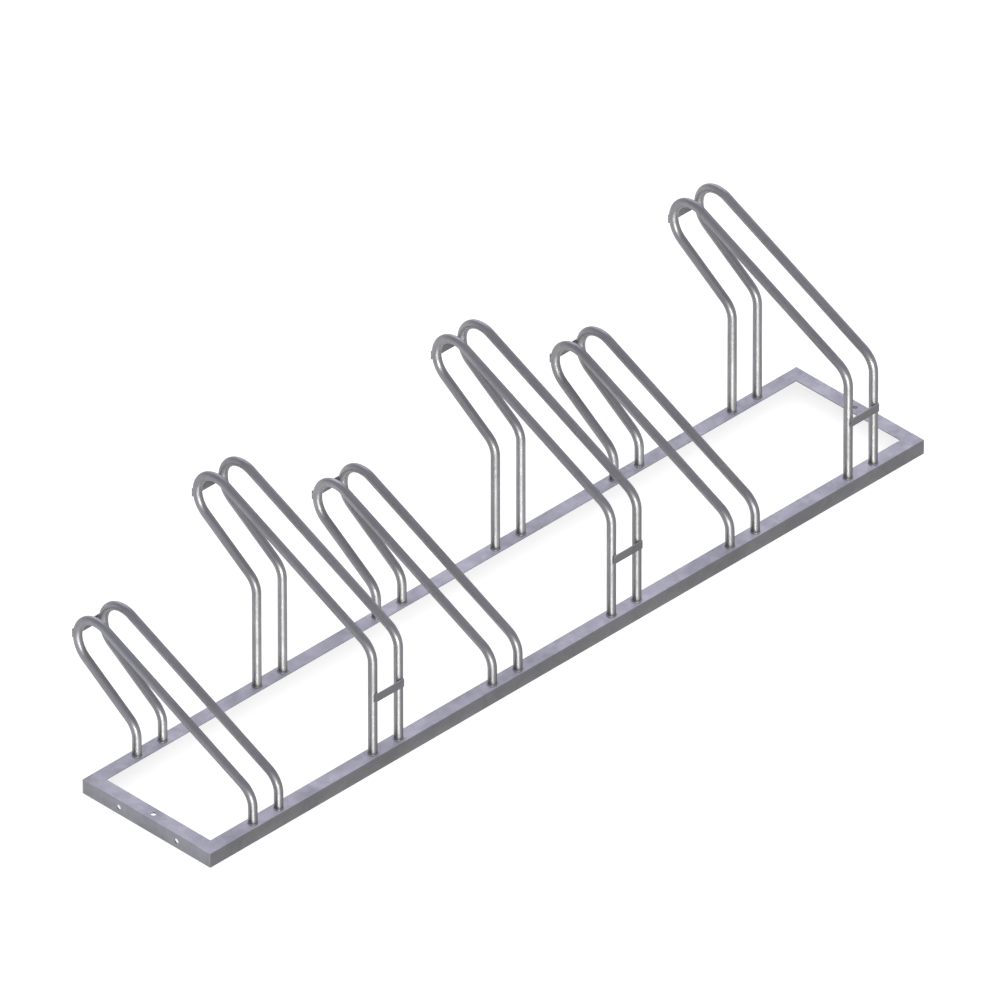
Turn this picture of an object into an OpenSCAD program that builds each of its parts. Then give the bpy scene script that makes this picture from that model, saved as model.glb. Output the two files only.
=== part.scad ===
/* [Base frame] */
// Overall length of the base frame
frame_len = 2100; // [1900:5:2400]
// Depth of the base frame, over the faces of the front and rear rails
frame_depth = 376; // [320:1:460]
// Width of each flange of the angle steel
angle_leg = 35; // [30:1:50]
// Thickness of the angle steel
angle_wall = 3; // [2:0.5:5]
// Radius of the inside corner of the angle steel
angle_root_r = 3; // [1:0.5:5]

/* [Fixing holes] */
// Diameter of the holes in the end rails, for M10 bolts
bolt_hole_d = 12; // [8:0.5:14]
// Distance between the two coupling holes of an end rail
coupling_spacing = 170; // [100:1:220]
// How far the fixing holes are centred behind the frame's front face
hole_line_y = 184.8; // [150:0.1:200]
// Diameter of the vent hole under the foot of each tube
vent_hole_d = 10; // [6:0.5:14]

/* [Places] */
// How far the row of places sits to the right of the frame's middle
place_shift = 3.5; // [-10:0.5:10]
// Distance between the axes of the two hoops of a pair
hoop_spacing = 75; // [60:1:100]

/* [Hoop tubes] */
// Outside diameter of the hoop tubes
tube_d = 20; // [16:0.5:25]
// Wall of the hoop tubes
tube_wall = 2; // [1:0.25:3]
// Height of the straight near leg of a low hoop, above the rail
front_leg_h = 38.2; // [25:0.1:60]
// Height of the straight rear leg of a low hoop, above the rail
rear_leg_h = 41.4; // [25:0.1:60]
// How much higher a tall hoop stands than a low one
tall_rise = 191.5; // [120:0.5:260]
// How much thinner the wall of the tube is in its bends
bend_thinning = 0.3; // [0.3:0.05:0.6]
// Radius of the bend over the near leg, on the tube's axis
front_bend_r = 50; // [40:1:70]
// Radius of the bend over the rear leg, on the tube's axis
rear_bend_r = 50; // [40:1:65]
// Radius of the bend at the top of the hoop, on the tube's axis
top_bend_r = 58; // [45:0.5:70]
// How far the centre of the top bend lies behind the axis of the rear leg
top_reach = 115.2; // [90:0.2:150]
// Height of the centre of a low hoop's top bend, above the rail
top_h = 218.7; // [190:0.1:260]

/* [Tie bars] */
// Length of each tie bar
tie_len = 84; // [60:1:110]
// Width of the flat bar that the ties are cut from
tie_w = 20; // [12:1:30]
// Thickness of the flat bar that the ties are cut from
tie_t = 3; // [2:0.5:6]
// Height of the middle of each front tie, above the rail
front_tie_h = 145.5; // [60:0.5:200]
// How far each rear tie of a tall pair hangs below the centre of the top bend
tall_tie_drop = 10; // [0:0.5:20]

/* [Hidden] */
$fn = 96;

// Six places, numbered from the left end
places = 6;
// The places share out the frame's whole length, so that coupled racks keep the same pitch
place_pitch = frame_len / places;
// Length by which a cut runs past the faces that it opens
overrun = 1;
// Length by which a bend runs on inside the stretches that it joins
bend_lap = 0.5;

// The hoops stand on the middle of the rails' top flanges
rail_mid = angle_leg / 2;
front_leg_y = rail_mid;
rear_leg_y = frame_depth - rail_mid;
// The top bend is the rearmost stretch of a hoop, and the rear tie lies on it
hoop_back_y = rear_leg_y + top_reach + top_bend_r + tube_d / 2;
overall_depth = hoop_back_y + tie_t;

angle_color = "lightsteelblue";
hoop_color = "silver";
tie_color = "slategray";

// Height of place n's hoops over the low ones: every second place is tall
function rise(n) = n % 2 == 0 ? tall_rise : 0;

// Middle of place n along the rack
function place_x(n) = place_shift + (n - (places + 1) / 2) * place_pitch;

// Point of the hoop's plane at an angle and a distance from a centre
function polar(centre, radius, angle) = centre + radius * [cos(angle), sin(angle)];

// Slope of a straight stretch that leaves one bend and runs on over the top of the next
function open_slope(from, from_r, to, to_r) =
    atan2(to.y - from.y, to.x - from.x) + asin((to_r - from_r) / norm(to - from));

// Slope of a straight stretch that leaves one bend and runs on under the next
function cross_slope(from, from_r, to, to_r) =
    atan2(to.y - from.y, to.x - from.x) - asin((to_r + from_r) / norm(to - from));

// The whole rack is drawn from its front face, then centred front to back
module centred() {
    translate([0, -overall_depth / 2, 0])
        children();
}

// Fillet in the inside corner of the angle steel, as a section
module root_section() {
    translate([angle_wall, angle_wall])
        difference() {
            square(angle_root_r);
            translate([angle_root_r, angle_root_r])
                circle(r = angle_root_r);
        }
}

// Long rail along X, its standing flange at the front
module long_angle() {
    translate([-frame_len / 2, 0, angle_leg])
        rotate([0, 90, 0])
            linear_extrude(frame_len) {
                square([angle_leg, angle_wall]);
                square([angle_wall, angle_leg]);
                root_section();
            }
}

// Round hole down through a rail's top flange
module top_flange_hole(x, y, d) {
    translate([x, y, angle_leg - angle_wall - overrun])
        cylinder(d = d, h = angle_wall + 2 * overrun);
}

// Vent holes under the feet of all tubes that stand at depth y
module vent_holes(y) {
    for (n = [1:places])
        for (side = [-1, 1])
            top_flange_hole(place_x(n) + side * hoop_spacing / 2, y, vent_hole_d);
}

// Fillet of a long rail, as the end rails have to be cut around it
module long_root() {
    translate([-frame_len / 2 - overrun, 0, angle_leg])
        rotate([0, 90, 0])
            linear_extrude(frame_len + 2 * overrun)
                root_section();
}

// End rail along Y at the left end: the standing flange fills the frame from rail to rail,
// the top flange is cut back so that it butts between the two long ones
module end_angle() {
    under_flange = angle_leg - angle_wall;
    difference() {
        union() {
            translate([-frame_len / 2, angle_wall, 0])
                cube([angle_wall, frame_depth - 2 * angle_wall, under_flange]);
            translate([-frame_len / 2, angle_leg, 0])
                cube([angle_wall, frame_depth - 2 * angle_leg, angle_leg]);
            translate([-frame_len / 2, angle_leg, under_flange])
                cube([angle_leg, frame_depth - 2 * angle_leg, angle_wall]);
            translate([-frame_len / 2, frame_depth - angle_leg, angle_leg])
                rotate([90, 90, 0])
                    linear_extrude(frame_depth - 2 * angle_leg)
                        root_section();
        }
        long_root();
        translate([0, frame_depth, 0])
            mirror([0, 1, 0])
                long_root();
        for (side = [-1, 1])
            translate([-frame_len / 2 - overrun, hole_line_y + side * coupling_spacing / 2, rail_mid])
                rotate([0, 90, 0])
                    cylinder(d = bolt_hole_d, h = angle_wall + 2 * overrun);
        top_flange_hole(-frame_len / 2 + rail_mid, hole_line_y, bolt_hole_d);
    }
}

module front_rail() {
    color(angle_color)
        centred()
            difference() {
                long_angle();
                vent_holes(front_leg_y);
            }
}

module rear_rail() {
    color(angle_color)
        centred()
            difference() {
                translate([0, frame_depth, 0])
                    mirror([0, 1, 0])
                        long_angle();
                vent_holes(rear_leg_y);
            }
}

module left_end_rail() {
    color(angle_color)
        centred()
            end_angle();
}

module right_end_rail() {
    color(angle_color)
        centred()
            mirror([1, 0, 0])
                end_angle();
}

// Wall of the tube, as a section
module tube_section(thinning = 0) {
    difference() {
        circle(d = tube_d - thinning);
        circle(d = tube_d - 2 * tube_wall + thinning);
    }
}

// Straight stretch of tube, standing up from where the last stretch ended
module straight_tube(length) {
    linear_extrude(length)
        tube_section();
    translate([0, 0, length])
        children();
}

// Where the next stretch starts, after a bend that leads from upright towards the rear
module after_bend(radius, angle) {
    translate([0, radius, 0])
        rotate([-angle, 0, 0])
            translate([0, -radius, 0])
                children();
}

// Bent stretch of tube: the part of a whole ring that lies between its start and its end, and
// a little more, which runs on inside the walls of the straight stretches and so joins them
module bent_tube(radius, angle) {
    reach = 2 * radius + tube_d;
    intersection() {
        translate([0, radius, 0])
            rotate([0, 90, 0])
                rotate_extrude()
                    translate([radius, 0])
                        tube_section(bend_thinning);
        translate([-reach, -reach, -bend_lap])
            cube(2 * reach);
        after_bend(radius, angle)
            mirror([0, 0, 1])
                translate([-reach, -reach, -bend_lap])
                    cube(2 * reach);
    }
    after_bend(radius, angle)
        children();
}

// Hoop of place n, on its left (side -1) or right (side 1): one tube, in the order in which
// it is bent, from the foot of its near leg over the top to the foot of its rear leg
module hoop(n, side) {
    front_bend = [front_leg_y + front_bend_r, angle_leg + front_leg_h + rise(n)];
    rear_bend = [rear_leg_y + rear_bend_r, angle_leg + rear_leg_h + rise(n)];
    top_bend = [rear_leg_y + top_reach, angle_leg + top_h + rise(n)];
    front_slope = open_slope(front_bend, front_bend_r, top_bend, top_bend_r);
    rear_slope = cross_slope(rear_bend, rear_bend_r, top_bend, top_bend_r);
    front_run = norm(
        polar(top_bend, top_bend_r, 90 + front_slope) - polar(front_bend, front_bend_r, 90 + front_slope)
    );
    rear_run = norm(
        polar(top_bend, top_bend_r, rear_slope - 90) - polar(rear_bend, rear_bend_r, 90 + rear_slope)
    );
    color(hoop_color)
        centred()
            translate([place_x(n) + side * hoop_spacing / 2, front_leg_y, angle_leg])
                straight_tube(front_leg_h + rise(n))
                bent_tube(front_bend_r, 90 - front_slope)
                straight_tube(front_run)
                bent_tube(top_bend_r, 180 + front_slope - rear_slope)
                straight_tube(rear_run)
                rotate([0, 0, 180])
                bent_tube(rear_bend_r, 90 - rear_slope)
                straight_tube(rear_leg_h + rise(n));
}

// Flat bar behind the top bends of place n
module rear_tie(n) {
    drop = rise(n) > 0 ? tall_tie_drop : 0;
    middle_z = angle_leg + top_h + rise(n) - drop;
    color(tie_color)
        centred()
            translate([place_x(n) - tie_len / 2, hoop_back_y, middle_z - tie_w / 2])
                cube([tie_len, tie_t, tie_w]);
}

// Flat bar across the front of the near legs of place n
module front_tie(n) {
    middle_z = angle_leg + front_tie_h;
    color(tie_color)
        centred()
            translate([place_x(n) - tie_len / 2, front_leg_y - tube_d / 2 - tie_t, middle_z - tie_w / 2])
                cube([tie_len, tie_t, tie_w]);
}

front_rail();
rear_rail();
left_end_rail();
right_end_rail();
hoop(1, -1);  // hoop_1_left
hoop(1, 1);  // hoop_1_right
hoop(2, -1);  // hoop_2_left
hoop(2, 1);  // hoop_2_right
hoop(3, -1);  // hoop_3_left
hoop(3, 1);  // hoop_3_right
hoop(4, -1);  // hoop_4_left
hoop(4, 1);  // hoop_4_right
hoop(5, -1);  // hoop_5_left
hoop(5, 1);  // hoop_5_right
hoop(6, -1);  // hoop_6_left
hoop(6, 1);  // hoop_6_right
rear_tie(1);  // rear_tie_1
rear_tie(2);  // rear_tie_2
rear_tie(3);  // rear_tie_3
rear_tie(4);  // rear_tie_4
rear_tie(5);  // rear_tie_5
rear_tie(6);  // rear_tie_6
front_tie(2);  // front_tie_2
front_tie(4);  // front_tie_4
front_tie(6);  // front_tie_6
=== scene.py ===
from math import asin, atan2, cos, hypot, pi, radians, sin

import bmesh
import bpy
from mathutils import Matrix, Vector


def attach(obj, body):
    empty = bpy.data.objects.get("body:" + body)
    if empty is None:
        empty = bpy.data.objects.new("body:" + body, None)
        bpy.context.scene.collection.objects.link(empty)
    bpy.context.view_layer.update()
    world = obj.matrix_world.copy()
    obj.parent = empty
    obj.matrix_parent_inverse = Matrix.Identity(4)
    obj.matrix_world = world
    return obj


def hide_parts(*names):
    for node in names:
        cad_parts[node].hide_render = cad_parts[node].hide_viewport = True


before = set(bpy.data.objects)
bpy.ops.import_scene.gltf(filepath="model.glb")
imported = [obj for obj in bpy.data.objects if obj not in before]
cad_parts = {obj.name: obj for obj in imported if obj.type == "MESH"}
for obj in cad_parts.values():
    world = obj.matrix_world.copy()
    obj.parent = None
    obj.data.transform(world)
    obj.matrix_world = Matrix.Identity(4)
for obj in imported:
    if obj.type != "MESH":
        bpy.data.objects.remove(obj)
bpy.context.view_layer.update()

# FRONT AND REAR RAIL
# Two long equal angles of hot-rolled steel. Each has its flat flange on top, turned inwards, and
# stands on its other flange at the outside. They are drilled under the foot of every tube, so
# that zinc can run in and out, and the welded rack is hot-dip galvanised in one piece.
rack_length = 2.1
base_depth = 0.376
front_face = -0.27235
rear_face = front_face + base_depth
angle_flange = 0.035
angle_thickness = 0.003
root_radius = 0.003
toe_radius = 0.0014
heel_radius = 0.0007
arris_radius = 0.0003
sharp_from = 35
vent_radius = 0.005
rail_top = angle_flange
places = range(1, 7)
place_pitch = 0.35
row_middle = 0.0035
place_middle = {n: row_middle + (n - 3.5) * place_pitch for n in places}
tube_offset = 0.0375
near_foot_y = front_face + angle_flange / 2
far_foot_y = rear_face - angle_flange / 2
foot_xs = [place_middle[n] + side * tube_offset for n in places for side in (-1, 1)]


def maths(nodes, links, operation, *values):
    """Output of a maths node whose inputs are other outputs or plain numbers."""
    node = nodes.new("ShaderNodeMath")
    node.operation = operation
    for slot, value in zip(node.inputs, values):
        if isinstance(value, (int, float)):
            slot.default_value = value
        else:
            links.new(value, slot)
    return node.outputs[0]


def soft_step(nodes, links, value, start, end, at_start=0.0, at_end=1.0):
    """Output that goes softly from one value to another while the input goes from start to end."""
    node = nodes.new("ShaderNodeMapRange")
    node.interpolation_type = "SMOOTHSTEP"
    numbers = {"From Min": start, "From Max": end, "To Min": at_start, "To Max": at_end}
    for slot, number in numbers.items():
        node.inputs[slot].default_value = number
    links.new(value, node.inputs["Value"])
    return node.outputs[0]


def zinc_skin():
    """Patterns of a galvanised surface: crystals, the clouds between them and a fine grain."""
    group = bpy.data.node_groups.new("zinc skin", "ShaderNodeTree")
    group.interface.new_socket("Vector", in_out="INPUT", socket_type="NodeSocketVector")
    for name, value in (("Crystal Scale", 90.0), ("Cloud Scale", 9.0), ("Grain Scale", 700.0)):
        scale = group.interface.new_socket(name, in_out="INPUT", socket_type="NodeSocketFloat")
        scale.default_value = value
    for name in ("Crystals", "Clouds", "Grain"):
        group.interface.new_socket(name, in_out="OUTPUT", socket_type="NodeSocketFloat")
    nodes, links = group.nodes, group.links
    given, given_out = nodes.new("NodeGroupInput"), nodes.new("NodeGroupOutput")

    bend = nodes.new("ShaderNodeTexNoise")
    bend.inputs["Scale"].default_value = 40
    bend.inputs["Detail"].default_value = 2
    links.new(given.outputs["Vector"], bend.inputs["Vector"])
    shifted = nodes.new("ShaderNodeVectorMath")
    shifted.operation = "MULTIPLY_ADD"
    shifted.inputs[1].default_value = (0.008, 0.008, 0.008)
    links.new(bend.outputs["Color"], shifted.inputs[0])
    links.new(given.outputs["Vector"], shifted.inputs[2])
    crystals = nodes.new("ShaderNodeTexVoronoi")
    links.new(shifted.outputs[0], crystals.inputs["Vector"])
    links.new(given.outputs["Crystal Scale"], crystals.inputs["Scale"])
    one_tone = nodes.new("ShaderNodeSeparateColor")
    links.new(crystals.outputs["Color"], one_tone.inputs[0])
    links.new(one_tone.outputs[0], given_out.inputs["Crystals"])

    clouds = nodes.new("ShaderNodeTexNoise")
    clouds.inputs["Detail"].default_value = 4
    clouds.inputs["Roughness"].default_value = 0.6
    links.new(given.outputs["Vector"], clouds.inputs["Vector"])
    links.new(given.outputs["Cloud Scale"], clouds.inputs["Scale"])
    links.new(soft_step(nodes, links, clouds.outputs[0], 0.32, 0.68), given_out.inputs["Clouds"])

    grain = nodes.new("ShaderNodeTexNoise")
    grain.inputs["Detail"].default_value = 3
    grain.inputs["Roughness"].default_value = 0.65
    links.new(given.outputs["Vector"], grain.inputs["Vector"])
    links.new(given.outputs["Grain Scale"], grain.inputs["Scale"])
    links.new(grain.outputs[0], given_out.inputs["Grain"])
    return group


def rubbed_arris():
    """Mask of the outer edges, where slings and floors have polished the zinc."""
    group = bpy.data.node_groups.new("rubbed arris", "ShaderNodeTree")
    width = group.interface.new_socket("Width", in_out="INPUT", socket_type="NodeSocketFloat")
    width.default_value = 0.001
    group.interface.new_socket("Mask", in_out="OUTPUT", socket_type="NodeSocketFloat")
    nodes, links = group.nodes, group.links
    given, given_out = nodes.new("NodeGroupInput"), nodes.new("NodeGroupOutput")
    rounded = nodes.new("ShaderNodeBevel")
    rounded.samples = 6
    links.new(given.outputs["Width"], rounded.inputs["Radius"])
    surface = nodes.new("ShaderNodeNewGeometry")
    agree = nodes.new("ShaderNodeVectorMath")
    agree.operation = "DOT_PRODUCT"
    links.new(rounded.outputs[0], agree.inputs[0])
    links.new(surface.outputs["Normal"], agree.inputs[1])
    mask = nodes.new("ShaderNodeMapRange")
    mask.inputs["From Min"].default_value = 0.99
    mask.inputs["From Max"].default_value = 0.86
    links.new(agree.outputs["Value"], mask.inputs["Value"])
    links.new(mask.outputs[0], given_out.inputs["Mask"])
    return group


zinc_skin_group = zinc_skin()
rubbed_arris_group = rubbed_arris()


def galvanised(name, dull, bright, roughness, crystal_scale, crystal_share, relief, arris_width):
    """Zinc on steel: a dull and a bright tone in clouds and crystals, brighter on the edges."""
    edge_share, edge_gain = 0.6, 1.35
    roughness_swing = 0.06
    crystal_height_share = 0.3
    grain_depth = 0.0004
    finish = bpy.data.materials.new(name)
    finish.use_nodes = True
    nodes, links = finish.node_tree.nodes, finish.node_tree.links
    shader = nodes["Principled BSDF"]
    shader.inputs["Metallic"].default_value = 1.0
    place = nodes.new("ShaderNodeTexCoord")
    skin = nodes.new("ShaderNodeGroup")
    skin.node_tree = zinc_skin_group
    skin.inputs["Crystal Scale"].default_value = crystal_scale
    links.new(place.outputs["Object"], skin.inputs["Vector"])

    tone = nodes.new("ShaderNodeMix")
    tone.inputs["Factor"].default_value = crystal_share
    links.new(skin.outputs["Clouds"], tone.inputs["A"])
    links.new(skin.outputs["Crystals"], tone.inputs["B"])
    colour = nodes.new("ShaderNodeMix")
    colour.data_type = "RGBA"
    colour.inputs["A"].default_value = (*dull, 1)
    colour.inputs["B"].default_value = (*bright, 1)
    links.new(tone.outputs["Result"], colour.inputs["Factor"])

    edges = nodes.new("ShaderNodeGroup")
    edges.node_tree = rubbed_arris_group
    edges.inputs["Width"].default_value = arris_width
    worn = maths(nodes, links, "MULTIPLY", edges.outputs["Mask"], edge_share)
    polished = nodes.new("ShaderNodeMix")
    polished.data_type = "RGBA"
    polished.inputs["B"].default_value = (*[edge_gain * part for part in bright], 1)
    links.new(worn, polished.inputs["Factor"])
    links.new(colour.outputs["Result"], polished.inputs["A"])
    links.new(polished.outputs["Result"], shader.inputs["Base Color"])

    gloss = nodes.new("ShaderNodeMapRange")
    gloss.inputs["To Min"].default_value = roughness + roughness_swing
    gloss.inputs["To Max"].default_value = roughness - roughness_swing
    links.new(tone.outputs["Result"], gloss.inputs["Value"])
    links.new(gloss.outputs[0], shader.inputs["Roughness"])

    height = nodes.new("ShaderNodeMix")
    height.inputs["Factor"].default_value = crystal_height_share
    links.new(skin.outputs["Grain"], height.inputs["A"])
    links.new(skin.outputs["Crystals"], height.inputs["B"])
    bump = nodes.new("ShaderNodeBump")
    bump.inputs["Strength"].default_value = relief
    bump.inputs["Distance"].default_value = grain_depth
    links.new(height.outputs["Result"], bump.inputs["Height"])
    links.new(bump.outputs[0], shader.inputs["Normal"])
    return finish


angle_zinc = galvanised(
    "galvanised angle", dull=(0.234, 0.233, 0.240), bright=(0.30, 0.298, 0.307), roughness=0.44,
    crystal_scale=75, crystal_share=0.35, relief=0.25, arris_width=0.0012,
)


def rack_piece(name, mesh, finish, stands_for=()):
    """Object of the rack at the origin, with its place in its mesh."""
    piece = bpy.data.objects.new(name, mesh)
    bpy.context.scene.collection.objects.link(piece)
    mesh.materials.clear()
    mesh.materials.append(finish)
    if stands_for:
        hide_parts(*stands_for)
    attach(piece, "root")
    return piece


def shaded_mesh(name, bm, sharp_angle=sharp_from):
    """Mesh from a finished bmesh, smooth but for its sharp edges."""
    mesh = bpy.data.meshes.new(name)
    bm.to_mesh(mesh)
    bm.free()
    mesh.shade_smooth()
    mesh.set_sharp_from_angle(angle=radians(sharp_angle))
    return mesh


def angle_bar(start, along, inwards, length):
    """Equal angle from its outer bottom edge, the flat flange on top and turned inwards."""
    bm = bmesh.new()
    outline = [
        (0, 0, arris_radius),
        (0, angle_flange, heel_radius),
        (angle_flange, angle_flange, arris_radius),
        (angle_flange, angle_flange - angle_thickness, toe_radius),
        (angle_thickness, angle_flange - angle_thickness, root_radius),
        (angle_thickness, 0, toe_radius),
    ]
    corners = [bm.verts.new(start + u * inwards + Vector((0, 0, z))) for u, z, _ in outline]
    bm.faces.new(corners)
    for corner, (_, _, radius) in zip(corners, outline):
        bmesh.ops.bevel(
            bm, geom=[corner], offset=radius, offset_type="OFFSET", affect="VERTICES", segments=4,
            profile=0.5, material=-1,
        )
    far_end = bmesh.ops.extrude_face_region(bm, geom=bm.faces[:])["geom"]
    far_end = [g for g in far_end if isinstance(g, bmesh.types.BMVert)]
    bmesh.ops.translate(bm, verts=far_end, vec=length * along)
    bmesh.ops.recalc_face_normals(bm, faces=bm.faces[:])
    return bm


def drill(bm, middle, axis, radius, depth=2 * angle_thickness):
    """Adds the drill's own shape to a bmesh of cutters."""
    turn = Vector((0, 0, 1)).rotation_difference(Vector(axis)).to_matrix().to_4x4()
    bmesh.ops.create_cone(
        bm, cap_ends=True, segments=48, radius1=radius, radius2=radius, depth=depth,
        matrix=Matrix.Translation(middle) @ turn,
    )


def cut_mesh(name, bar, cutters):
    """Mesh of the bar with the cutters' shapes taken out of it."""
    made = []
    for part_name, bm in (("bar", bar), ("cutters", cutters)):
        mesh = bpy.data.meshes.new(part_name)
        bm.to_mesh(mesh)
        bm.free()
        made.append(bpy.data.objects.new(part_name, mesh))
        bpy.context.scene.collection.objects.link(made[-1])
    work, tool = made
    cut = work.modifiers.new("cut", "BOOLEAN")
    cut.operation, cut.solver, cut.object = "DIFFERENCE", "EXACT", tool
    graph = bpy.context.evaluated_depsgraph_get()
    mesh = bpy.data.meshes.new_from_object(work.evaluated_get(graph))
    mesh.name = name
    for piece in made:
        bpy.data.meshes.remove(piece.data)
    mesh.shade_smooth()
    mesh.set_sharp_from_angle(angle=radians(sharp_from))
    return mesh


def even_shading(piece):
    """Lets the wide flat faces rule the shading beside their rounded edges."""
    weighted = piece.modifiers.new("even shading", "WEIGHTED_NORMAL")
    weighted.keep_sharp = True
    weighted.weight = 100


for name, face, inwards, feet_y in (
    ("front_rail", front_face, Vector((0, 1, 0)), near_foot_y),
    ("rear_rail", rear_face, Vector((0, -1, 0)), far_foot_y),
):
    bar = angle_bar(Vector((-rack_length / 2, face, 0)), Vector((1, 0, 0)), inwards, rack_length)
    vents = bmesh.new()
    for x in foot_xs:
        drill(vents, (x, feet_y, rail_top - angle_thickness / 2), (0, 0, 1), vent_radius)
    mesh = cut_mesh(f"{name}_bar", bar, vents)
    even_shading(rack_piece(f"{name}_bar", mesh, angle_zinc, [name]))

# LEFT AND RIGHT END RAIL
# Two short lengths of the same angle close the frame. Their standing flanges run right up to
# those of the long rails, and their flat flanges are cut back to butt against the long ones.
# Each is drilled once for a floor anchor and twice for the bolts that couple it to the next rack.
bolt_radius = 0.006
hole_line = front_face + 0.1848
bar_end_inset = 0.001
coupling_spacing = 0.17
half_length = rack_length / 2


def room_of_long_rail(cutters, face, inwards):
    """Adds the space that a long rail takes up, and all outside it, to a bmesh of cutters."""
    reach = 0.003
    overrun = 0.01
    outline = [
        (-reach, -reach),
        (-reach, angle_flange + reach),
        (angle_flange, angle_flange + reach),
        (angle_flange, angle_flange - angle_thickness),
        (angle_thickness, angle_flange - angle_thickness),
        (angle_thickness, -reach),
    ]
    bar = bmesh.new()
    start = -half_length - overrun
    corners = [bar.verts.new((start, face + inwards * u, z)) for u, z in outline]
    bar.faces.new(corners)
    bmesh.ops.bevel(
        bar, geom=[corners[4]], offset=root_radius, offset_type="OFFSET", affect="VERTICES",
        segments=4, profile=0.5, material=-1,
    )
    far_end = bmesh.ops.extrude_face_region(bar, geom=bar.faces[:])["geom"]
    far_end = [g for g in far_end if isinstance(g, bmesh.types.BMVert)]
    bmesh.ops.translate(bar, verts=far_end, vec=(rack_length + 2 * overrun, 0, 0))
    bmesh.ops.recalc_face_normals(bar, faces=bar.faces[:])
    mesh = bpy.data.meshes.new("room")
    bar.to_mesh(mesh)
    bar.free()
    cutters.from_mesh(mesh)
    bpy.data.meshes.remove(mesh)


for name, end in (("left_end_rail", -1), ("right_end_rail", 1)):
    bar = angle_bar(
        Vector((end * half_length, front_face + bar_end_inset, 0)), Vector((0, 1, 0)),
        Vector((-end, 0, 0)), base_depth - 2 * bar_end_inset,
    )
    cutters = bmesh.new()
    room_of_long_rail(cutters, front_face, 1)
    room_of_long_rail(cutters, rear_face, -1)
    x = end * (half_length - angle_flange / 2)
    drill(cutters, (x, hole_line, rail_top - angle_thickness / 2), (0, 0, 1), bolt_radius)
    x = end * (half_length - angle_thickness / 2)
    for side in (-1, 1):
        y = hole_line + side * coupling_spacing / 2
        drill(cutters, (x, y, angle_flange / 2), (1, 0, 0), bolt_radius)
    mesh = cut_mesh(f"{name}_bar", bar, cutters)
    even_shading(rack_piece(f"{name}_bar", mesh, angle_zinc, [name]))

# HOOPS
# Twelve round tubes, two side by side at each place, bent three times in one plane: up from the
# front rail, back and up at a slope, over the top, and down again to the rear rail. They hold the
# wheel between them. Every second pair stands higher, so that handlebars don't meet.
tube_radius = 0.010
tube_wall = 0.002
tall_lift = 0.1915
front_bend_radius = 0.05
rear_bend_radius = 0.05
top_bend_radius = 0.058
near_leg = 0.0382
far_leg = 0.0414
sawn_end = 0.0005
tube_sides = 48
side_bend_steps = 16
top_bend_steps = 44
top_bend_y = far_foot_y + 0.1152
top_bend_z = rail_top + 0.2187

tube_zinc = galvanised(
    "galvanised tube", dull=(0.247, 0.246, 0.251), bright=(0.311, 0.309, 0.315), roughness=0.44,
    crystal_scale=120, crystal_share=0.3, relief=0.08, arris_width=0.0005,
)


def bent_hoop(x, lift):
    """One tube, run out and bent in the order in which it is made, as an open skin."""
    front_y, front_z = near_foot_y + front_bend_radius, rail_top + near_leg + lift
    rear_y, rear_z = far_foot_y + rear_bend_radius, rail_top + far_leg + lift
    top_y, top_z = top_bend_y, top_bend_z + lift
    front_slope = atan2(top_z - front_z, top_y - front_y)
    span = hypot(top_z - front_z, top_y - front_y)
    front_slope += asin((top_bend_radius - front_bend_radius) / span)
    rear_slope = atan2(top_z - rear_z, top_y - rear_y)
    span = hypot(top_z - rear_z, top_y - rear_y)
    rear_slope -= asin((top_bend_radius + rear_bend_radius) / span)

    bm = bmesh.new()
    rim = bmesh.ops.create_circle(
        bm, cap_ends=False, segments=tube_sides, radius=tube_radius,
        matrix=Matrix.Translation((x, near_foot_y, rail_top)),
    )["verts"]
    rim = list({edge for corner in rim for edge in corner.link_edges})

    def run(rim, vec):
        made = bmesh.ops.extrude_edge_only(bm, edges=rim)["geom"]
        corners = [g for g in made if isinstance(g, bmesh.types.BMVert)]
        bmesh.ops.translate(bm, verts=corners, vec=vec)
        return [g for g in made if isinstance(g, bmesh.types.BMEdge)]

    def bend(rim, y, z, angle, steps):
        made = bmesh.ops.spin(
            bm, geom=rim, cent=(x, y, z), axis=(1, 0, 0), angle=angle, steps=steps, dvec=(0, 0, 0),
            use_merge=False, use_normal_flip=False, use_duplicate=False,
        )["geom_last"]
        return [g for g in made if isinstance(g, bmesh.types.BMEdge)]

    def across(slope, radius):
        return Vector((0, -radius * sin(slope), radius * cos(slope)))

    front_end = Vector((0, front_y, front_z)) + across(front_slope, front_bend_radius)
    top_start = Vector((0, top_y, top_z)) + across(front_slope, top_bend_radius)
    top_end = Vector((0, top_y, top_z)) - across(rear_slope, top_bend_radius)
    rear_start = Vector((0, rear_y, rear_z)) + across(rear_slope, rear_bend_radius)
    rim = run(rim, (0, 0, sawn_end))
    rim = run(rim, (0, 0, near_leg + lift - sawn_end))
    rim = bend(rim, front_y, front_z, front_slope - pi / 2, side_bend_steps)
    rim = run(rim, top_start - front_end)
    rim = bend(rim, top_y, top_z, rear_slope - front_slope - pi, top_bend_steps)
    rim = run(rim, rear_start - top_end)
    rim = bend(rim, rear_y, rear_z, pi / 2 - rear_slope, side_bend_steps)
    rim = run(rim, (0, 0, sawn_end - far_leg - lift))
    run(rim, (0, 0, -sawn_end))
    bmesh.ops.remove_doubles(bm, verts=bm.verts[:], dist=0.00001)
    bmesh.ops.recalc_face_normals(bm, faces=bm.faces[:])
    return bm


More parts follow.
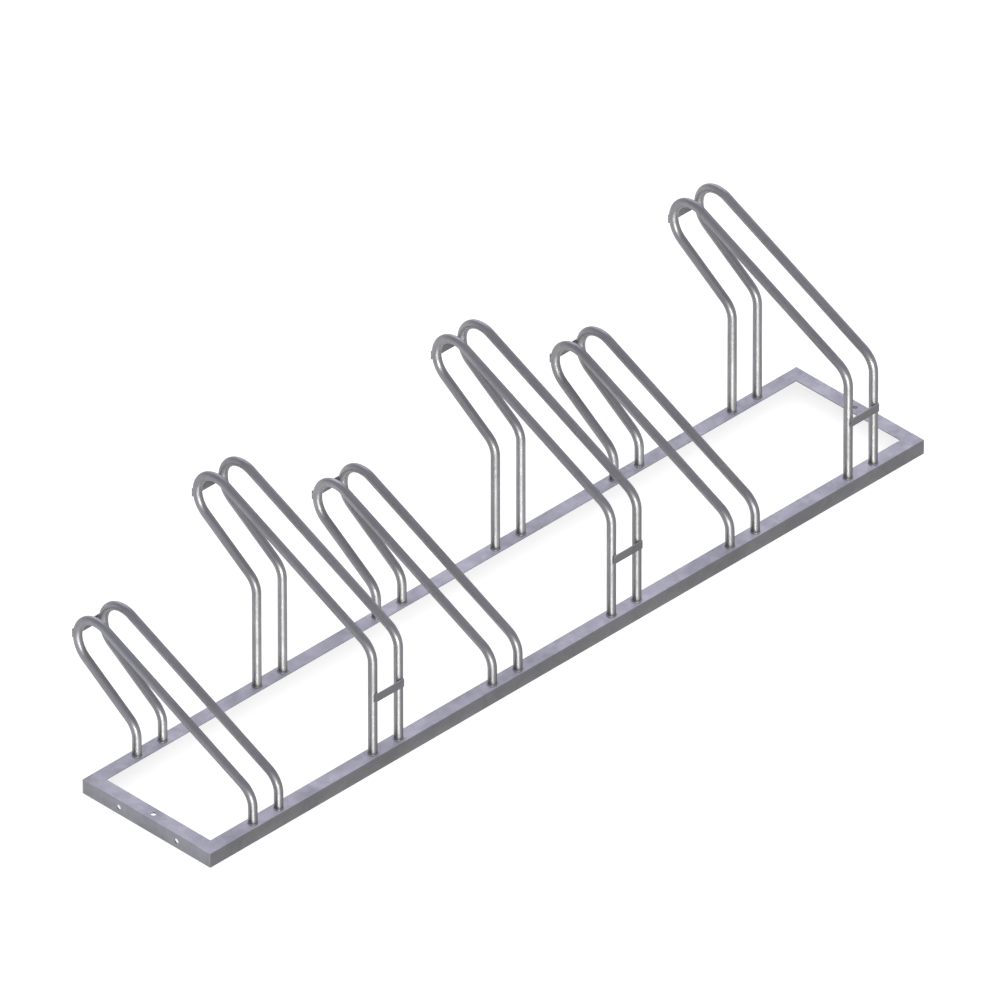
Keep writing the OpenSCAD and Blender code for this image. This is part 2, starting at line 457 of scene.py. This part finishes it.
hoops = []
for n in places:
    for side, side_name in ((-1, "left"), (1, "right")):
        name = f"hoop_{n}_{side_name}"
        bm = bent_hoop(place_middle[n] + side * tube_offset, tall_lift if n % 2 == 0 else 0)
        mesh = shaded_mesh(f"{name}_tube", bm, 60)
        hoop = rack_piece(f"{name}_tube", mesh, tube_zinc, [name])
        wall = hoop.modifiers.new("tube wall", "SOLIDIFY")
        wall.thickness, wall.offset = tube_wall, -1
        hoops.append(hoop)

# TIES
# Short flat bars that hold the two tubes of a pair at their distance: one behind the top bends of
# every pair, and one more across the near legs of the tall pairs. Sawn to length, edges broken.
tie_length = 0.084
tie_width = 0.020
tie_thickness = 0.003
tie_edge_radius = 0.0006
tall_tie_drop = 0.010
hoop_back = top_bend_y + top_bend_radius + tube_radius
hoop_front = near_foot_y - tube_radius
front_tie_z = rail_top + 0.1455
rear_tie_z = {n: top_bend_z + (tall_lift - tall_tie_drop if n % 2 == 0 else 0) for n in places}

flat_zinc = galvanised(
    "galvanised flat", dull=(0.224, 0.224, 0.226), bright=(0.286, 0.286, 0.289), roughness=0.44,
    crystal_scale=90, crystal_share=0.35, relief=0.25, arris_width=0.001,
)


def flat_bar(x, y, z):
    bm = bmesh.new()
    size = Matrix.Diagonal((tie_length, tie_thickness, tie_width, 1))
    bmesh.ops.create_cube(bm, size=1, matrix=Matrix.Translation((x, y, z)) @ size)
    bmesh.ops.bevel(
        bm, geom=bm.edges[:], offset=tie_edge_radius, segments=3, affect="EDGES", profile=0.5,
        material=-1,
    )
    return bm


rear_tie_y = hoop_back + tie_thickness / 2
front_tie_y = hoop_front - tie_thickness / 2
ties = [(f"rear_tie_{n}", place_middle[n], rear_tie_y, rear_tie_z[n]) for n in places]
ties += [(f"front_tie_{n}", place_middle[n], front_tie_y, front_tie_z) for n in (2, 4, 6)]
for name, x, y, z in ties:
    mesh = shaded_mesh(f"{name}_flat", flat_bar(x, y, z))
    even_shading(rack_piece(f"{name}_flat", mesh, flat_zinc, [name]))

# WELDS
# A fillet runs round the foot of every tube, short ones lie beside each tube on the ties, and the
# corners of the frame are closed with flush seams. All were laid before the rack was dipped.
foot_bead_radius = 0.0012
foot_bead_out = 0.0001
foot_bead_up = 0.0004
tie_bead_radius = 0.0014
tie_bead_half_length = 0.46 * tie_width
tie_bead_aside = 0.0055
tie_bead_off_tube = 0.0006

# The welds' zinc is lighter than the rest: painted light that lifts the shade round the feet of
# the tubes.
weld_zinc_painted_lighter = galvanised(
    "galvanised weld painted lighter", dull=(0.30, 0.30, 0.315), bright=(0.37, 0.37, 0.385), roughness=0.5,
    crystal_scale=260, crystal_share=0.4, relief=0.5, arris_width=0.0004,
)


def foot_bead(bm, x, y, turn):
    """Fillet round a foot: a small round section spun about the tube, swelling in waves."""
    lean = Matrix.Translation((x + tube_radius + foot_bead_out, y, rail_top + foot_bead_up))
    lean @= Matrix.Rotation(pi / 2, 4, "X")
    rim = bmesh.ops.create_circle(
        bm, cap_ends=False, segments=10, radius=foot_bead_radius, matrix=lean,
    )["verts"]
    rim = list({edge for corner in rim for edge in corner.link_edges})
    old = set(bm.verts)
    start = {corner for edge in rim for corner in edge.verts}
    bmesh.ops.spin(
        bm, geom=rim, cent=(x, y, 0), axis=(0, 0, 1), angle=2 * pi, steps=80, dvec=(0, 0, 0),
        use_merge=True, use_normal_flip=False, use_duplicate=False,
    )
    middle = Vector((x, y, rail_top + foot_bead_up))
    for corner in [v for v in bm.verts if v not in old or v in start]:
        out = corner.co - middle
        around = atan2(out.y, out.x)
        flat = Vector((out.x, out.y, 0)).normalized() * (tube_radius + foot_bead_out)
        swell = 1 + 0.07 * sin(13 * around + turn) + 0.05 * sin(5 * around + 2 * turn)
        corner.co = middle + flat + (out - flat) * swell


def bead(bm, middle, half_sizes):
    """Short bead or seam, tapering at both ends."""
    bmesh.ops.create_uvsphere(
        bm, u_segments=16, v_segments=16, radius=1,
        matrix=Matrix.Translation(middle) @ Matrix.Diagonal((*half_sizes, 1)),
    )


for n in places:
    bm = bmesh.new()
    for side in (-1, 1):
        x = place_middle[n] + side * tube_offset
        foot_bead(bm, x, near_foot_y, 1.7 * n + side)
        foot_bead(bm, x, far_foot_y, 2.3 * n - side)
        for edge in (-1, 1):
            half_sizes = (tie_bead_radius, tie_bead_radius, tie_bead_half_length)
            bead_x = x + edge * tie_bead_aside
            bead(bm, (bead_x, hoop_back - tie_bead_off_tube, rear_tie_z[n]), half_sizes)
            if n % 2 == 0:
                bead(bm, (bead_x, hoop_front + tie_bead_off_tube, front_tie_z), half_sizes)
    bmesh.ops.recalc_face_normals(bm, faces=bm.faces[:])
    rack_piece(f"welds_{n}", shaded_mesh(f"welds_{n}", bm, 80), weld_zinc_painted_lighter)

seam_sink = 0.0002
top_seam = (0.0168, 0.0015, 0.0005)
side_seam = (0.0005, 0.0014, 0.0165)
bm = bmesh.new()
for end in (-1, 1):
    for face, inwards in ((front_face, 1), (rear_face, -1)):
        x, y = end * (half_length - angle_flange / 2), face + inwards * angle_flange
        bead(bm, (x, y, rail_top - seam_sink), top_seam)
        x, y = end * (half_length - seam_sink), face + inwards * angle_thickness
        bead(bm, (x, y, angle_flange / 2), side_seam)
bmesh.ops.recalc_face_normals(bm, faces=bm.faces[:])
rack_piece("corner_seams", shaded_mesh("corner_seams", bm, 80), weld_zinc_painted_lighter)

# STUDIO
# A white floor and a soft white room. The camera stands where the photograph's did, far off with
# a very long lens, so that the rack's parallel edges stay parallel.
floor_half_size = 30
floor_drop = 0.0003
floor_glow = 0.68
floor_glow_for_camera = 0.07
# Share of the floor's glow left in reflections in front of the rack: painted shade on the base's
# front faces.
painted_shade_glow_in_front = 0.3
glow_blend = 0.03
white = (1, 1, 1, 1)
# Bluish glow the floor shows in reflections left of the rack: a painted tint on the base's left
# ends.
painted_left_tint = (0.94, 0.97, 1.10, 1)
paper_white = (0.61, 0.605, 0.575, 1)

bm = bmesh.new()
bmesh.ops.create_grid(
    bm, x_segments=1, y_segments=1, size=floor_half_size,
    matrix=Matrix.Translation((0, 0, -floor_drop)),
)
floor_mesh = bpy.data.meshes.new("floor")
bm.to_mesh(floor_mesh)
bm.free()
floor = bpy.data.objects.new("floor", floor_mesh)
bpy.context.scene.collection.objects.link(floor)

# The floor glows where the camera or a reflection meets it, which makes it white, and takes the
# rack's shadow as any paper does. In reflections its glow is lower in front of the rack and bluish
# to its left: a painted reflection that shades the base's front faces and tints its left ends.
floor_paper = bpy.data.materials.new("white floor paper")
floor_paper.use_nodes = True
nodes, links = floor_paper.node_tree.nodes, floor_paper.node_tree.links
nodes.clear()
place = nodes.new("ShaderNodeTexCoord")
across = nodes.new("ShaderNodeSeparateXYZ")
links.new(place.outputs["Object"], across.inputs[0])
dimmed = soft_step(
    nodes, links, across.outputs["Y"], front_face - glow_blend, front_face + glow_blend,
    at_start=painted_shade_glow_in_front,
)
at_left = soft_step(
    nodes, links, across.outputs["X"], -half_length - glow_blend, -half_length + glow_blend,
    at_start=1.0, at_end=0.0,
)
seen = nodes.new("ShaderNodeLightPath")
by_camera = seen.outputs["Is Camera Ray"]
mirrored = maths(nodes, links, "MULTIPLY", seen.outputs["Is Glossy Ray"], dimmed)
looked_at = maths(nodes, links, "MAXIMUM", by_camera, mirrored)
looked_at = maths(nodes, links, "MAXIMUM", looked_at, seen.outputs["Is Transmission Ray"])
glow = maths(nodes, links, "MULTIPLY", looked_at, floor_glow)
glow = maths(nodes, links, "MULTIPLY_ADD", by_camera, floor_glow_for_camera, glow)
mirrored_left = maths(nodes, links, "MULTIPLY", seen.outputs["Is Glossy Ray"], at_left)
glow_tint = nodes.new("ShaderNodeMix")
glow_tint.data_type = "RGBA"
glow_tint.inputs["A"].default_value = white
glow_tint.inputs["B"].default_value = painted_left_tint
links.new(mirrored_left, glow_tint.inputs["Factor"])
shine = nodes.new("ShaderNodeEmission")
links.new(glow_tint.outputs["Result"], shine.inputs["Color"])
links.new(glow, shine.inputs["Strength"])
paper = nodes.new("ShaderNodeBsdfDiffuse")
paper.inputs["Color"].default_value = paper_white
both = nodes.new("ShaderNodeAddShader")
links.new(shine.outputs[0], both.inputs[0])
links.new(paper.outputs[0], both.inputs[1])
links.new(both.outputs[0], nodes.new("ShaderNodeOutputMaterial").inputs["Surface"])
floor_mesh.materials.append(floor_paper)

# The room is pure white where it is looked at, and low down in reflections too. As a light it is
# softer and a little bluish, and dims from the walls to the ceiling.
wall_light, ceiling_light = 0.82, 0.58
room_tint = (0.97, 0.967, 1.09, 1)
room = bpy.data.worlds.new("white room")
bpy.context.scene.world = room
room.use_nodes = True
nodes, links = room.node_tree.nodes, room.node_tree.links
nodes.clear()
towards = nodes.new("ShaderNodeTexCoord")
parts = nodes.new("ShaderNodeSeparateXYZ")
links.new(towards.outputs["Generated"], parts.inputs[0])
rise = parts.outputs["Z"]
wall_to_ceiling = soft_step(nodes, links, rise, 0.05, 0.75, wall_light, ceiling_light)
low = soft_step(nodes, links, rise, 0.02, 0.2, 1.0, 0.0)
seen = nodes.new("ShaderNodeLightPath")
looked_at = maths(
    nodes, links, "MAXIMUM", seen.outputs["Is Camera Ray"], seen.outputs["Is Transmission Ray"],
)
mirrored_low = maths(nodes, links, "MULTIPLY", seen.outputs["Is Glossy Ray"], low)
looked_at = maths(nodes, links, "MAXIMUM", looked_at, mirrored_low)
strength = nodes.new("ShaderNodeMix")
strength.inputs["B"].default_value = 1.0
links.new(looked_at, strength.inputs["Factor"])
links.new(wall_to_ceiling, strength.inputs["A"])
tint = nodes.new("ShaderNodeMix")
tint.data_type = "RGBA"
tint.inputs["A"].default_value = room_tint
tint.inputs["B"].default_value = white
links.new(looked_at, tint.inputs["Factor"])
light = nodes.new("ShaderNodeBackground")
links.new(tint.outputs["Result"], light.inputs["Color"])
links.new(strength.outputs["Result"], light.inputs["Strength"])
links.new(light.outputs[0], nodes.new("ShaderNodeOutputWorld").inputs["Surface"])


def far_lamp(name, to_lamp, strength, angle, tint):
    """Lamp so far off that its light comes from one direction, softened over an angle."""
    data = bpy.data.lights.new(name, "SUN")
    data.energy, data.angle, data.color = strength, radians(angle), tint
    lamp = bpy.data.objects.new(name, data)
    lamp.rotation_mode = "QUATERNION"
    lamp.rotation_quaternion = Vector(to_lamp).to_track_quat("Z", "Y")
    bpy.context.scene.collection.objects.link(lamp)
    return lamp


def hoop_group(name):
    """Group of the hoops that a lamp treats apart from the rest."""
    group = bpy.data.collections.new(name)
    for hoop in hoops:
        group.objects.link(hoop)
    return group


far_lamp("low front lamp", (-0.56, -0.83, 0.04), 3, 12, (1, 0.99, 0.92))

# The window's light comes from behind and isn't blocked by the hoops, so the top flanges stay
# even round their feet.
window = far_lamp("window behind the rack", (1, 1, 1), 0.78, 48, (0.842, 0.825, 1.03))
window.light_linking.blocker_collection = hoop_group("hoops let the window through")
for link in window.light_linking.blocker_collection.collection_objects:
    link.light_linking.link_state = "EXCLUDE"

# The light table shines up through the floor on the hoops alone, for the light line along each.
through_floor = far_lamp("light table", (-0.497, -0.643, -0.577), 1.35, 32, (1, 0.99, 0.95))
glass = bpy.data.collections.new("glass table")
glass.objects.link(floor)
through_floor.light_linking.blocker_collection = glass
glass.collection_objects[0].light_linking.link_state = "EXCLUDE"
through_floor.light_linking.receiver_collection = hoop_group("lit from below")

camera_aim = Vector((0.10488, 0.03641, 0.19919))
camera_distance = 98.276
towards_camera = Vector((-1, -1, 1)).normalized()
lens = bpy.data.cameras.new("camera")
lens.lens, lens.sensor_width, lens.clip_end = 1700, 36, 200
camera = bpy.data.objects.new("camera", lens)
camera.location = camera_aim + camera_distance * towards_camera
camera.rotation_mode = "QUATERNION"
camera.rotation_quaternion = towards_camera.to_track_quat("Z", "Y")
bpy.context.scene.collection.objects.link(camera)
bpy.context.scene.camera = camera
bpy.context.scene.view_settings.view_transform = "Standard"
